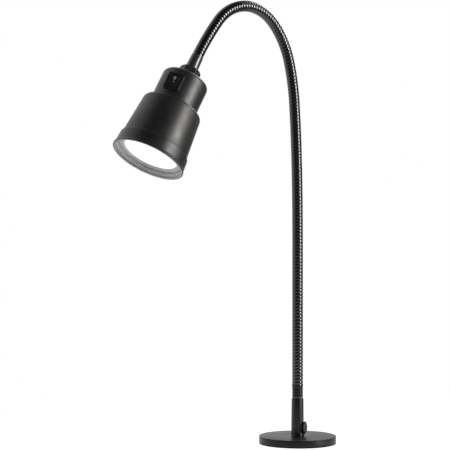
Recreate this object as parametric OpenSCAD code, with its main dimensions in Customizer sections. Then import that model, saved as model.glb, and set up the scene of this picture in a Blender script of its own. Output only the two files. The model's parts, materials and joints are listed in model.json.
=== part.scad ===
// Free-standing heat lamp: a round base, a clamped post, a gooseneck and a reflector-lamp head.
// Frame: millimetres, +Z up, origin at the centre of the base's underside.
// The arm lies in the XZ plane at rest and reaches towards -X.

/* [Base] */
// Diameter of the base disc
base_d = 115.6; // [110:0.1:140]
// Height of the base's top face above the table
base_top_z = 11.3; // [10.5:0.1:14]
// Thickness of the pad under the base
pad_t = 1; // [0.8:0.1:1.5]
// Rounding of the base's top edge
base_edge_r = 1.8; // [1:0.1:2.5]

/* [Post] */
// Diameter of the post at its foot
post_foot_d = 19.4; // [19:0.1:21]
// Diameter of the post at its top
post_top_d = 18; // [17.5:0.1:18.6]
// Height of the post's top above the table
post_top_z = 68.4; // [64:0.2:72]
// Diameter of the socket bore
socket_d = 13; // [12.6:0.1:13.4]
// Height of the thumbscrew's axis above the table
clamp_z = 23.7; // [23:0.1:25]
// Direction of the thumbscrew about the post, from +X
clamp_az = -62; // [-80:1:-40]
// Diameter of the thumbscrew's knob
knob_d = 18.6; // [17:0.2:20]

/* [Gooseneck] */
// Outer diameter of the gooseneck
hose_d = 16.2; // [15.8:0.1:16.4]
// Height of the gooseneck's lower end
hose_start_z = 88; // [84:1:92]
// Length of each of the five lower links
stem_link_len = 71.85; // [66:0.05:76]
// Length of each of the six upper links
arch_link_len = 62; // [58:1:66]
// Extra length of the last link, up to the upper ferrule
hose_tail = 6.9; // [5:0.1:8]
// Diameter of the cable inside
cable_d = 4; // [3.6:0.1:4.4]

/* [Head] */
// Visible length of the upper ferrule
ferrule_len = 19.9; // [18:0.1:22]
// Height of the hex lock nut
nut_h = 14.1; // [12:0.1:16]
// Width of the hex lock nut across its flats
nut_af = 27.7; // [26:0.1:28.5]
// Diameter of the cap
cap_d = 67.4; // [66.6:0.1:68.4]
// Length of the cap
cap_len = 48.7; // [48:0.1:49.5]
// Diameter of the shade at its shoulder
shade_top_d = 86; // [84:0.5:88]
// Diameter of the shade at its lower edge
shade_low_d = 97.1; // [96.9:0.1:97.5]
// Length of the shade
shade_len = 65.5; // [64.5:0.5:67]
// Diameter of the rim band above its flare
band_d = 102; // [101.4:0.1:103]
// Diameter of the rim band at the mouth
band_low_d = 106; // [105:0.1:107]
// Length of the rim band
band_len = 19; // [18:0.5:20]
// Thickness of the head's sheet metal
sheet_t = 0.8; // [0.8:0.1:0.9]
// Direction of the switch about the head's axis
switch_az = -32.5; // [-60:0.5:20]

/* [Hidden] */
$fn = 96;
eps = 0.01;

// Colours
black_satin = [0.13, 0.13, 0.14];
black_gloss = [0.05, 0.05, 0.055];
rubber_grey = [0.08, 0.08, 0.08];
steel_grey = [0.45, 0.45, 0.47];
zinc = [0.72, 0.73, 0.75];
brass = [0.80, 0.65, 0.32];
porcelain = [0.93, 0.92, 0.88];
lamp_white = [1, 0.98, 0.92];
wire_brown = [0.35, 0.22, 0.14];

// Running clearance between a pin and its bore, and the gap between loose neighbours
run = 0.05;
gap = 0.3;

// Base
pad_inset = 0.3;
channel_w = 5.6;
channel_top_z = 7;
channel_end_y = base_d / 2 - 7.8;
cable_hole_r = 5;
post_screw_r = 1.5;
post_screw_pcr = 6.8;
post_screw_head_r = 2.8;
post_screw_top_z = 15.8;
plate_screw_at = [-11.2, -39.1];
plate_screw_r = 2.4;
grommet_end_y = base_d / 2 - 0.3;
grommet_z = 4.4;
grommet_r = 3;
grommet_hole_r = 2.2;

// Post and clamp
socket_r = socket_d / 2;
socket_floor_z = 16.5;
post_chamfer = 1.4;
boss_h = 12.7;
boss_w = 12;
boss_face = 10;
screw_thread_r = 2.5;
screw_shank_r = screw_thread_r - run;
tip_r = 2.4;
tip_from = socket_r + 0.02;
tip_len = 1.2;
knob_from = boss_face + gap;
knob_t = 2.3;

// Arm foot
washer_t = 0.8;
washer_r = 7.9;
spigot_r = socket_r - 0.04;
spigot_low_z = socket_floor_z + 0.5;
ferrule_low_z = post_top_z + washer_t + 0.02;
ferrule_r = hose_d / 2 + 0.3;
wireway_r = 3.6;

// Gooseneck. Each link is an arc: its length, and the angle that it turns towards -X.
bends = [0, 0, 0, 1, 1.5, 2, 11, 28, 49.3, 46.9, 9.3];
link_n = len(bends);
function link_len(i) = i < 5 ? stem_link_len : i < link_n - 1 ? arch_link_len : arch_link_len + hose_tail;
hose_r = hose_d / 2;
stem_bore_r = 4.6;
arch_bore_r = 6.8;
function bore_r(i) = i < 5 ? stem_bore_r : arch_bore_r;
ball_r = 7.2;
cup_r = 7.6;
ball_top = 5;
neck_gap = 4;
neck_web = 3;
ball_bore_r = 4.4;
cable_r = cable_d / 2;
cable_ball_r = cable_r + 0.15;
cable_cup_r = cable_ball_r + gap;
cable_core_r = cable_r - 0.3;

// Head, in distances t along its axis from the gooseneck's end
sleeve_top_r = hose_d / 2 + 0.6;
sleeve_low_r = 9.3;
sleeve_lap = 3;
t_nut = ferrule_len;
t_washer = t_nut + nut_h;
seal_t = 1.2;
seal_r = 14.8;
t_cap = t_washer + seal_t;
t_shade = t_cap + cap_len;
t_band = t_shade + shade_len;
t_mouth = t_band + band_len;
cap_r = cap_d / 2;
seam_lap = 1.5;
band_t = 1;
flare_len = 7.5;
lip_r = 1;
lip_t = 1.25;
mouth_r = 48;
cap_edge_r = 7;
nut_az = 36.7;
nut_dome_r = 2.5;
nut_dome_h = 4;
nut_foot = 0.6;
nipple_r = 6.5;
nipple_grip = 10;
nipple_end = t_cap + 11.5;
bracket_t = 1.2;
t_bracket = t_cap + sheet_t + 0.05;
t_inner_nut = t_bracket + bracket_t + 0.05;
inner_nut_h = 4.6;
inner_nut_af = 19;

// Switch, in a frame on the cap: x outwards, y around the cap, z along the head's axis
t_switch = t_cap + 25.7;
bezel_w = 24.2;
bezel_h = 26.4;
bezel_corner = 3;
bezel_face = cap_r + 2;
rocker_w = 16.2;
rocker_h = 18.4;
well_w = 17.2;
well_h = 20.6;
body_w = 20.2;
body_h = 22.6;
body_inner = 19.8;
rocker_axis_x = cap_r - 3;
trunnion_r = 1.5;
trunnion_len = 1.2;
rocker_v = 8;

// Lampholder and lamp
t_holder = t_cap + 23.2;
t_holder_wide = t_holder + 4;
t_holder_end = t_holder + 38;
holder_neck_r = 15;
holder_r = 16.8;
shell_r = 13.8;
shell_t = 0.5;
t_shell = t_holder + 9;
t_shell_end = t_shell + 26;
contact_r = 4;
bulb_base_r = 13;
t_bulb_tip = t_shell + 2.8;
t_bulb_base = t_bulb_tip + 4;
t_bulb_neck = t_bulb_base + 21.5;
t_lens = t_mouth - 8.2;
lens_r = 47.4;
lens_t = 2.4;
glass_t = 0.9;
leg_r = 13;
leg_w = 12;
bracket_screw_pcr = 9.4;

// Heading and place of the end of link i, following the arcs one by one
function heading(i) = i < 0 ? 0 : heading(i - 1) + bends[i];
function step_x(i) = bends[i] == 0 ? -link_len(i) * sin(heading(i - 1))
    : (cos(heading(i)) - cos(heading(i - 1))) * link_len(i) / (bends[i] * PI / 180);
function step_z(i) = bends[i] == 0 ? link_len(i) * cos(heading(i - 1))
    : (sin(heading(i)) - sin(heading(i - 1))) * link_len(i) / (bends[i] * PI / 180);
function end_x(i) = i < 0 ? 0 : end_x(i - 1) + step_x(i);
function end_z(i) = i < 0 ? hose_start_z : end_z(i - 1) + step_z(i);

// Puts its children in the frame at the end of link i, +Z along the gooseneck
module at_link_end(i) translate([end_x(i), 0, end_z(i)]) rotate([0, -heading(i), 0]) children();
module at_head() at_link_end(link_n - 1) children();

// Ring or tube along +Z from z0 to z1
module tube(r_out, r_in, z0, z1) {
    translate([0, 0, z0]) difference() {
        cylinder(r = r_out, h = z1 - z0);
        translate([0, 0, -1]) cylinder(r = r_in, h = z1 - z0 + 2);
    }
}

module rod(r, z0, z1) translate([0, 0, z0]) cylinder(r = r, h = z1 - z0);

// Hex prism with its corners turned off: a dome at its start and a chamfer at its end
module hex_nut(af, r_in, z0, z1, dome_r, dome_h, foot) {
    corner_r = af / sqrt(3);
    difference() {
        intersection() {
            translate([0, 0, z0]) cylinder(r = corner_r, h = z1 - z0, $fn = 6);
            rotate_extrude() polygon([
                [0, z0], [corner_r - dome_r, z0], [corner_r - dome_r * 0.32, z0 + dome_h * 0.45],
                [corner_r + eps, z0 + dome_h], [corner_r + eps, z1 - foot], [corner_r - foot, z1], [0, z1]]);
        }
        rod(r_in, z0 - 1, z1 + 1);
    }
}

// Round rod along link i's arc, between the lengths s0 and s1 from its start
module arc_rod(i, r, s0, s1) {
    if (bends[i] == 0) {
        rod(r, s0, s1);
    } else {
        turn_r = link_len(i) / (bends[i] * PI / 180);
        per_len = bends[i] / link_len(i);
        translate([-turn_r, 0, 0]) rotate([90, 0, 0]) rotate([0, 0, s0 * per_len])
            rotate_extrude(angle = (s1 - s0) * per_len, $fn = 240) translate([turn_r, 0]) circle(r);
    }
}

// Puts its children at the far end of link i, in the frame of its start
module at_arc_end(i) {
    turn_r = bends[i] == 0 ? 0 : link_len(i) / (bends[i] * PI / 180);
    x = bends[i] == 0 ? 0 : -turn_r * (1 - cos(bends[i]));
    z = bends[i] == 0 ? link_len(i) : turn_r * sin(bends[i]);
    translate([x, 0, z]) rotate([0, -bends[i], 0]) children();
}

module pivot_ball() {
    intersection() {
        sphere(ball_r);
        translate([-ball_r - 1, -ball_r - 1, -neck_gap - 0.6])
            cube([2 * ball_r + 2, 2 * ball_r + 2, neck_gap + 0.6 + ball_top]);
    }
}

// One gooseneck link: a cup at its start turns on the ball at the end of the link before
module hose_link(i) {
    first = i == 0;
    last = i == link_n - 1;
    s0 = first ? 0 : gap;
    s1 = last ? link_len(i) : link_len(i) - neck_gap;
    color(steel_grey) at_link_end(i - 1) difference() {
        union() {
            arc_rod(i, hose_r, s0, s1);
            if (!last) at_arc_end(i) pivot_ball();
        }
        arc_rod(i, bore_r(i), s0 - 1, last ? s1 + 1 : s1 - neck_web);
        if (!first) sphere(cup_r);
        if (!last) at_arc_end(i) rod(ball_bore_r, -neck_gap - neck_web - 4, ball_top + 1);
    }
}

// Cable along link i, straight where the link hardly bends
module cable_rod(i, s0, s1) {
    if (bends[i] < 2) rotate([0, -bends[i] / 2, 0]) rod(cable_r, s0, s1);
    else arc_rod(i, cable_r, s0, s1);
}

// The cable's stretch inside one link: a round end turns in the cupped end of the next
module cable_link(i) {
    first = i == 0;
    last = i == link_n - 1;
    color(rubber_grey) at_link_end(i - 1) difference() {
        union() {
            cable_rod(i, first ? 0 : 1, link_len(i));
            if (!last) at_arc_end(i) sphere(cable_ball_r);
            if (first) rod(cable_r, spigot_low_z + 1 - hose_start_z, eps);
            if (last) at_arc_end(i) rod(cable_core_r, -2, nipple_end - 1);
        }
        if (!first) sphere(cable_cup_r);
    }
}

module base_plate() {
    r = base_d / 2;
    e = base_edge_r;
    foot = 0.3;
    color(black_satin) difference() {
        rotate_extrude($fn = 128) union() {
            polygon([[0, pad_t], [r - foot, pad_t], [r, pad_t + foot], [r, base_top_z - e],
                [r - e, base_top_z], [0, base_top_z]]);
            translate([r - e, base_top_z - e]) circle(e);
        }
        rod(cable_hole_r, 0, base_top_z + 1);
        translate([-channel_w / 2, -3, 0]) cube([channel_w, channel_end_y + 3, channel_top_z]);
        post_screw_places() {
            rod(post_screw_r + run, 0, base_top_z + 1);
            post_screw_head(run);
        }
        translate([0, 0, grommet_z]) rotate([-90, 0, 0]) rod(grommet_r + run, channel_end_y - 1, r + 1);
        translate([plate_screw_at[0], plate_screw_at[1], 0]) rod(plate_screw_r + run, 5, base_top_z + 1);
    }
}

module base_pad() {
    color(rubber_grey) rod(base_d / 2 - pad_inset, 0, pad_t);
}

module post_screw_places() {
    for (az = [180, 270, 360]) rotate([0, 0, az]) translate([post_screw_pcr, 0, 0]) children();
}

// Countersunk head, flush with the plate's underside
module post_screw_head(more) {
    depth = post_screw_head_r - post_screw_r;
    translate([0, 0, pad_t]) cylinder(r1 = post_screw_head_r + more, r2 = post_screw_r + more, h = depth);
}

module post_screws() {
    color(zinc) post_screw_places() {
        rod(post_screw_r, pad_t, post_screw_top_z);
        post_screw_head(0);
    }
}

module plate_screw() {
    slot_w = 0.7;
    color(steel_grey) translate([plate_screw_at[0], plate_screw_at[1], 0]) difference() {
        union() {
            rod(plate_screw_r, 5.5, base_top_z);
            translate([0, 0, base_top_z]) cylinder(r1 = plate_screw_r, r2 = plate_screw_r - 0.5, h = 0.4);
        }
        translate([-4, -slot_w / 2, base_top_z - 0.4]) cube([8, slot_w, 2]);
    }
}

module cord_grommet() {
    flange_r = 3.2;
    color(rubber_grey) translate([0, 0, grommet_z]) rotate([-90, 0, 0]) difference() {
        union() {
            rod(grommet_r, channel_end_y, grommet_end_y);
            rod(flange_r, grommet_end_y + 0.35, grommet_end_y + 1.4);
            rod(grommet_r - 0.2, grommet_end_y - 1, grommet_end_y + 1);
        }
        rod(grommet_hole_r, 0, base_d);
    }
}

// Outer shape of the post, also used to fit the boss to it
module post_body() {
    r0 = post_foot_d / 2;
    r1 = post_top_d / 2;
    rotate_extrude() polygon([
        [0, base_top_z], [r0, base_top_z], [r1, post_top_z - post_chamfer],
        [r1 - post_chamfer, post_top_z], [0, post_top_z]]);
}

// Puts its children on the thumbscrew's axis, +Z outwards
module at_clamp() translate([0, 0, clamp_z]) rotate([0, 0, clamp_az]) rotate([0, 90, 0]) children();

module post_socket() {
    color(black_satin) difference() {
        post_body();
        rod(socket_r, socket_floor_z, post_top_z + 1);
        rod(cable_hole_r - 1, base_top_z - 1, socket_floor_z + 1);
        post_screw_places() rod(post_screw_r + run, base_top_z - 1, post_screw_top_z + 0.2);
        at_clamp() rod(screw_thread_r, 0, post_foot_d);
    }
}

module clamp_boss() {
    color(black_satin) difference() {
        at_clamp() translate([-boss_h / 2, -boss_w / 2, 4]) cube([boss_h, boss_w, boss_face - 4]);
        post_body();
        at_clamp() rod(screw_thread_r, 0, post_foot_d);
    }
}

module thumbscrew_tip() {
    color(brass) at_clamp() rod(tip_r, tip_from, tip_from + tip_len);
}

module thumbscrew() {
    dome = 0.5;
    grip_n = 36;
    grip_r = 0.45;
    color(black_gloss) at_clamp() difference() {
        union() {
            rod(screw_shank_r, tip_from + tip_len + run, knob_from + eps);
            rod(knob_d / 2, knob_from, knob_from + knob_t - dome);
            translate([0, 0, knob_from + knob_t - dome])
                cylinder(r1 = knob_d / 2, r2 = knob_d / 2 - 1.2, h = dome);
        }
        for (i = [0:grip_n - 1]) rotate([0, 0, i * 360 / grip_n])
            translate([knob_d / 2 + 0.1, 0, knob_from - 1]) cylinder(r = grip_r, h = knob_t + 2, $fn = 16);
    }
}

module swivel_washer() {
    color(rubber_grey) tube(washer_r, socket_r + 0.1, post_top_z, post_top_z + washer_t);
}

module lower_ferrule() {
    color(steel_grey) difference() {
        union() {
            rod(spigot_r, spigot_low_z, ferrule_low_z + 1);
            rod(ferrule_r - 0.3, ferrule_low_z, hose_start_z);
            for (z = [ferrule_low_z + 1.2, hose_start_z - 3.2]) rod(ferrule_r, z, z + 2);
        }
        rod(wireway_r, 0, hose_start_z + 1);
        rod(stem_bore_r, hose_start_z - 12, hose_start_z + 1);
    }
}

// Wiring in the foot: down the post, round into the base's channel and out to the grommet
module base_cable() {
    turn_r = 9;
    low_z = grommet_z;
    color(rubber_grey) {
        rod(cable_r, low_z + turn_r, spigot_low_z + 0.7);
        translate([0, turn_r, low_z + turn_r]) rotate([0, 90, 0]) rotate([0, 0, -90])
            rotate_extrude(angle = 90) translate([turn_r, 0]) circle(cable_r);
        translate([0, 0, low_z]) rotate([-90, 0, 0]) rod(cable_r, turn_r, channel_end_y - 0.1);
    }
}

module upper_ferrule() {
    color(black_gloss) at_head() difference() {
        union() {
            translate([0, 0, -sleeve_lap])
                cylinder(r1 = sleeve_top_r, r2 = sleeve_low_r, h = sleeve_lap + ferrule_len - 1);
            rod(sleeve_low_r - 0.8, ferrule_len - 1 - eps, ferrule_len);
        }
        rod(hose_r + run, -sleeve_lap - 1, 0);
        rod(arch_bore_r, -1, ferrule_len - nipple_grip);
        rod(nipple_r, ferrule_len - nipple_grip, ferrule_len + 1);
    }
}

module head_nipple() {
    color(zinc) at_head() tube(nipple_r, wireway_r, ferrule_len - nipple_grip + 0.1, nipple_end);
}

module hex_lock_nut() {
    color(black_gloss) at_head() rotate([0, 0, nut_az])
        hex_nut(nut_af, nipple_r, t_nut, t_washer, nut_dome_r, nut_dome_h, nut_foot);
}

module seal_washer() {
    color(zinc) at_head() tube(seal_r, nipple_r, t_washer, t_cap - 0.02);
}

module inner_nut() {
    color(zinc) at_head()
        hex_nut(inner_nut_af, nipple_r, t_inner_nut, t_inner_nut + inner_nut_h, 0.8, 0.5, 0.8);
}

// Solid of the cap's outline, smaller by inset all round
module cap_solid(inset, z_end) {
    r = cap_r - inset;
    e = cap_edge_r - inset;
    rotate_extrude($fn = 128) {
        translate([0, t_cap + inset]) square([r - e, z_end - t_cap - inset]);
        translate([0, t_cap + cap_edge_r]) square([r, z_end - t_cap - cap_edge_r]);
        translate([r - e, t_cap + cap_edge_r]) circle(e);
    }
}

// Puts its children in the switch's frame
module at_switch() at_head() rotate([0, 0, switch_az]) translate([0, 0, t_switch]) children();

module head_cap() {
    color(black_satin) difference() {
        at_head() difference() {
            cap_solid(0, t_shade);
            cap_solid(sheet_t, t_shade + 1);
            rod(nipple_r + run, 0, t_shade);
        }
        at_switch() translate([body_inner, -body_w / 2 - run, -body_h / 2 - run])
            cube([cap_r, body_w + 2 * run, body_h + 2 * run]);
    }
}

// Flat plate with round corners, lying across the x axis of the switch's frame
module switch_plate(w, h, corner, x0, x1) {
    translate([x0, 0, 0]) rotate([90, 0, 90]) linear_extrude(x1 - x0) union() {
        square([w - 2 * corner, h], center = true);
        square([w, h - 2 * corner], center = true);
        for (x = [-1, 1], y = [-1, 1]) translate([x * (w / 2 - corner), y * (h / 2 - corner)])
            circle(corner, $fn = 48);
    }
}

module switch_bezel() {
    color(black_gloss) difference() {
        at_switch() difference() {
            switch_plate(bezel_w, bezel_h, bezel_corner, cap_r - 3.2, bezel_face);
            switch_plate(body_w - 1, body_h - 0.6, 1, 0, bezel_face + 1);
        }
        at_head() rod(cap_r + 0.02, t_cap, t_shade + 5);
    }
}

module switch_body() {
    floor_x = 24.5;
    rim_x = bezel_face - 0.6;
    color(black_gloss) at_switch() difference() {
        switch_plate(body_w - 1.1, body_h - 0.7, 1, body_inner, rim_x);
        switch_plate(well_w, well_h, 0.8, floor_x, rim_x + 1);
        translate([rocker_axis_x, 0, 0]) rotate([90, 0, 0])
            rod(trunnion_r + run, -rocker_w / 2 - trunnion_len - 0.4, rocker_w / 2 + trunnion_len + 0.4);
    }
}

// Concave rocker, resting with its mouth-side end pressed in
module switch_rocker() {
    half = rocker_h / 2;
    face_x = bezel_face - 0.4 - rocker_axis_x;
    rise = half * tan(rocker_v);
    color(black_gloss) at_switch() translate([rocker_axis_x, 0, 0]) rotate([0, -rocker_v, 0]) {
        rotate([90, 0, 0]) linear_extrude(rocker_w, center = true) polygon([
            [face_x, 0], [face_x + rise, half], [face_x - 3.4, half - 0.2], [-2.6, 3],
            [-2.6, -3], [face_x - 3.4, 0.2 - half], [face_x + rise, -half]]);
        rotate([90, 0, 0]) rod(trunnion_r, -rocker_w / 2 - trunnion_len, rocker_w / 2 + trunnion_len);
    }
}

module switch_terminals() {
    color(brass) at_switch() for (z = [-10.6, -6]) translate([13.8, -3.2, z]) cube([6, 6.4, 0.8]);
}

// Straight wire between two points of the head's frame
module wire(a, b, r) {
    d = b - a;
    l = norm(d);
    translate(a) rotate([0, acos(d[2] / l), atan2(d[1], d[0])]) cylinder(r = r, h = l);
}

module head_wires() {
    r = 0.8;
    z0 = nipple_end + 1.2;
    z1 = t_holder - r - 0.1;
    tab_x = 13.4;
    color(wire_brown) at_head() rotate([0, 0, switch_az]) {
        wire([0, 1.6, z0], [tab_x, 1.6, t_switch - 10.2], r);
        wire([6, -1.8, z1], [tab_x, -1.8, t_switch - 5.6], r);
        wire([-0.5, -1.6, z0], [-6, -3, z1], r);
    }
}

module holder_bracket() {
    top_r = leg_r + bracket_t;
    foot_t = t_holder - bracket_t;
    color(zinc) at_head() rotate([0, 0, switch_az + 90]) difference() {
        union() {
            translate([-top_r, -leg_w / 2, t_bracket]) cube([2 * top_r, leg_w, bracket_t]);
            for (s = [-1, 1]) {
                translate([s * (leg_r + bracket_t / 2) - bracket_t / 2, -leg_w / 2, t_bracket])
                    cube([bracket_t, leg_w, t_holder - t_bracket]);
                translate([s > 0 ? 6.6 : -top_r, -leg_w / 2, foot_t]) cube([top_r - 6.6, leg_w, bracket_t]);
            }
        }
        rod(nipple_r + run, t_cap, t_inner_nut + 1);
        bracket_screw_places() rod(1.6, foot_t - 1, t_holder + 1);
    }
}

module bracket_screw_places() {
    for (s = [-1, 1]) translate([s * bracket_screw_pcr, 0, 0]) children();
}

module bracket_screws() {
    color(zinc) at_head() rotate([0, 0, switch_az + 90]) bracket_screw_places() {
        rod(1.5, t_holder - bracket_t - eps, t_holder + 6);
        rod(2.8, t_holder - bracket_t - 1.8, t_holder - bracket_t);
    }
}

module lampholder() {
    color(porcelain) at_head() difference() {
        union() {
            rod(holder_neck_r, t_holder, t_holder_wide + 1);
            rod(holder_r, t_holder_wide, t_holder_end - 1);
            rod(holder_r - 0.8, t_holder_end - 1 - eps, t_holder_end);
        }
        rod(shell_r + run, t_shell, t_holder_end + 1);
        rod(2.2, t_holder - 1, t_shell + 1);
        rotate([0, 0, switch_az + 90]) bracket_screw_places() rod(1.5 + run, t_holder - 1, t_holder + 6.5);
    }
}

module screw_shell() {
    color(brass) at_head() tube(shell_r, shell_r - shell_t, t_shell + 1, t_shell_end);
}

module centre_contact() {
    color(brass) at_head() {
        rod(contact_r, t_shell, t_shell + 0.8);
        rod(1.8, t_shell - 4, t_shell + 2.5);
    }
}

// Sheet-metal wall: the outline stepped inwards by the sheet's thickness
module shade() {
    r0 = shade_top_d / 2;
    r1 = shade_low_d / 2;
    e = 6;
    neck_r = cap_r - sheet_t - 0.1;
    s = sheet_t;
    lap = seam_lap;
    color(black_satin) at_head() difference() {
        rotate_extrude($fn = 128) union() {
            translate([0, t_shade - 6]) square([neck_r, 7]);
            translate([0, t_shade]) square([r0 - e, shade_len]);
            translate([r0 - e, t_shade + e]) circle(e);
            polygon([[0, t_shade + e], [r0, t_shade + e], [r1, t_band + lap], [0, t_band + lap]]);
        }
        rotate_extrude($fn = 128) union() {
            translate([0, t_shade - 7]) square([neck_r - s, 10]);
            translate([0, t_shade + s]) square([r0 - e, shade_len]);
            translate([r0 - e, t_shade + e]) circle(e - s);
            polygon([[0, t_shade + e], [r0 - s, t_shade + e], [r1 - s, t_band + lap + 1],
                [0, t_band + lap + 1]]);
        }
    }
}

// Straight band with a flared lip, whose flat face closes in to the mouth
module rim_band() {
    r0 = band_d / 2;
    r1 = band_low_d / 2;
    t_low = t_mouth - lip_r;
    seat_r = shade_low_d / 2 + 0.02;
    color(black_satin) at_head() difference() {
        rotate_extrude($fn = 128) union() {
            polygon([[40, t_band], [r0 - 1, t_band], [r0, t_band + 1], [r0, t_mouth - flare_len],
                [r1, t_low - 0.5], [r1, t_low], [r1 - lip_r, t_mouth], [40, t_mouth]]);
            translate([r1 - lip_r, t_low]) circle(lip_r);
        }
        rod(seat_r, t_band - 1, t_band + seam_lap);
        rod(r0 - band_t, t_band + seam_lap - eps, t_mouth - lip_t);
        rod(mouth_r, t_band, t_mouth + 1);
    }
}

// Pale liner that runs from the lip back to the lamp's rim
module inner_ring() {
    color(zinc) at_head() tube(mouth_r + 0.9, mouth_r, t_lens - 1, t_mouth - lip_t - 0.02);
}

// Reflector glass, open at both ends
module bulb_glass() {
    t0 = t_bulb_neck;
    outer = [[13.2, t0], [16.5, t0 + 6], [23, t0 + 17], [34, t0 + 32], [43, t0 + 46], [lens_r, t0 + 56],
        [lens_r, t_lens]];
    inner = [for (i = [len(outer) - 1:-1:0]) [outer[i][0] - glass_t * (i < 5 ? 1.25 : 1), outer[i][1]]];
    color(zinc) at_head() rotate_extrude($fn = 128) polygon(concat(outer, inner));
}

module bulb_lens() {
    dome = 0.9;
    skin = 1.4;
    color(lamp_white) at_head() rotate_extrude($fn = 128) polygon([
        [0, t_lens + lens_t + dome - skin], [38, t_lens + lens_t - 0.7 - skin], [lens_r - 2, t_lens],
        [lens_r, t_lens], [lens_r, t_lens + lens_t - 1.2], [lens_r - 1.2, t_lens + lens_t],
        [41, t_lens + lens_t], [40.4, t_lens + lens_t - 0.7], [39, t_lens + lens_t - 0.7],
        [20, t_lens + lens_t + dome * 0.6], [0, t_lens + lens_t + dome]]);
}

module bulb_base() {
    color(zinc) at_head() tube(bulb_base_r, bulb_base_r - 0.6, t_bulb_base, t_bulb_neck);
}

module bulb_tip() {
    color(black_gloss) at_head() union() {
        translate([0, 0, t_bulb_tip + 0.8])
            cylinder(r1 = 5, r2 = bulb_base_r - 0.6, h = t_bulb_base - t_bulb_tip - 0.8);
        rod(bulb_base_r - 0.65, t_bulb_base - eps, t_bulb_base + 2);
        rod(3.6, t_bulb_tip, t_bulb_tip + 1);
    }
}

base_plate();
base_pad();
post_socket();
post_screws();
plate_screw();
cord_grommet();
clamp_boss();
thumbscrew_tip();
thumbscrew();
swivel_washer();
lower_ferrule();
hose_link(0);  // hose_link_01
hose_link(1);  // hose_link_02
hose_link(2);  // hose_link_03
hose_link(3);  // hose_link_04
hose_link(4);  // hose_link_05
hose_link(5);  // hose_link_06
hose_link(6);  // hose_link_07
hose_link(7);  // hose_link_08
hose_link(8);  // hose_link_09
hose_link(9);  // hose_link_10
hose_link(10);  // hose_link_11
base_cable();
cable_link(0);  // cable_01
cable_link(1);  // cable_02
cable_link(2);  // cable_03
cable_link(3);  // cable_04
cable_link(4);  // cable_05
cable_link(5);  // cable_06
cable_link(6);  // cable_07
cable_link(7);  // cable_08
cable_link(8);  // cable_09
cable_link(9);  // cable_10
cable_link(10);  // cable_11
upper_ferrule();
head_nipple();
hex_lock_nut();
seal_washer();
inner_nut();
head_cap();
switch_bezel();
switch_body();
switch_rocker();
switch_terminals();
head_wires();
holder_bracket();
bracket_screws();
lampholder();
screw_shell();
centre_contact();
shade();
rim_band();
inner_ring();
bulb_glass();
bulb_lens();
bulb_base();
bulb_tip();
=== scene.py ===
# Looks for the free-standing heat lamp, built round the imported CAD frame.
# Sizes in the parts' own frames are millimetres; everything in Blender is metres.
import json
import math

import bmesh
import bpy
from mathutils import Matrix, Vector


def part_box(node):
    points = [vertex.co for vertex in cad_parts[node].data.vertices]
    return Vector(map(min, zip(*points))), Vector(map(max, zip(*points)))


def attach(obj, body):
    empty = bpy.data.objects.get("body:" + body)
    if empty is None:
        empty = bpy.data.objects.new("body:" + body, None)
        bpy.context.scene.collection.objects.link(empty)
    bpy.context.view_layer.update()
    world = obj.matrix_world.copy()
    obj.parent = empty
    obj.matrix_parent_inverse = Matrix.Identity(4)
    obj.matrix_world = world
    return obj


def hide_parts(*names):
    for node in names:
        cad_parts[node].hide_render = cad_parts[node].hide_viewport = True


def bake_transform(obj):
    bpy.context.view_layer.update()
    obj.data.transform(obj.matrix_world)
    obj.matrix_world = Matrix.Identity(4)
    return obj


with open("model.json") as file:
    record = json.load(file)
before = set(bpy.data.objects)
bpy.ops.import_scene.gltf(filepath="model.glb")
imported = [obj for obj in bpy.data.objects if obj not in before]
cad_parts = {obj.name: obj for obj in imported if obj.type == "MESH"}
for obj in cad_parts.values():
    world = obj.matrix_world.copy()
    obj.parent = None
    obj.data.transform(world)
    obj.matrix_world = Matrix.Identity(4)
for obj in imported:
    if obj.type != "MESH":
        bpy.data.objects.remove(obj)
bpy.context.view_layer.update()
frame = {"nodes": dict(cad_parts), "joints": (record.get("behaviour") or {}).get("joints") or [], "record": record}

MM = 0.001
TAU = 2 * math.pi
ROLL = 1.9  # millimetres that the rolled lip stands beyond the CAD's mouth
JOINTS = {j["name"]: j for j in frame["joints"]}

# Camera, lights and floor, in metres. The lens and the sensor are in millimetres.
EYE = (-1.5805, -1.6531, 0.3272)
VIEW_DIRECTION = Vector((0.656, 0.755, 0)).normalized()
LENS, SENSOR = 121.8, 36
LIGHTS_AIM = Vector((-0.12, 0, 0.33))
FLOOR_RADIUS, FLOOR_GLOW = 0.62, 0.95
# Brightness that reflections see, from in front of the lamp on the right to behind it
REFLECTION_STOPS = ((0.0, 0.012), (0.52, 0.02), (0.72, 0.75), (0.82, 1.0))

# Gooseneck: pitch and radius of the wound wire, and the wire's half width, crown and root
PITCH, NECK_R = 4.9 * MM, 8.15 * MM
WIRE_HALF, CROWN, ROOT = 2.42 * MM, 0.3 * MM, 1.6 * MM
PER_TURN, ROUND_POINTS = 30, 12
# The narrow wire in the groove between two turns: (radius, place along the neck), in millimetres
FLAT_SECTION = [(7.62, -0.5), (7.7, 0), (7.62, 0.5), (6.6, 0.75), (5.4, 0.3), (5.4, -0.3), (6.6, -0.75)]


# ---------------------------------------------------------------- places in the frame

def place(origin, z_axis, x_axis):
    """Matrix from millimetres in a part's own frame to metres in the lamp's frame."""
    z, x = Vector(z_axis).normalized(), Vector(x_axis).normalized()
    turn = Matrix((x, z.cross(x), z)).transposed().to_4x4()
    return Matrix.Translation(origin) @ turn @ Matrix.Scale(MM, 4)


def node_points(node, where):
    inverse = where.inverted()
    return [inverse @ v.co for v in frame["nodes"][node].data.vertices]


def extent(node, where):
    """Lowest z, highest z and largest radius of a CAD node in a part's own frame."""
    points = node_points(node, where)
    heights = [p.z for p in points]
    return min(heights), max(heights), max(p.xy.length for p in points)


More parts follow.
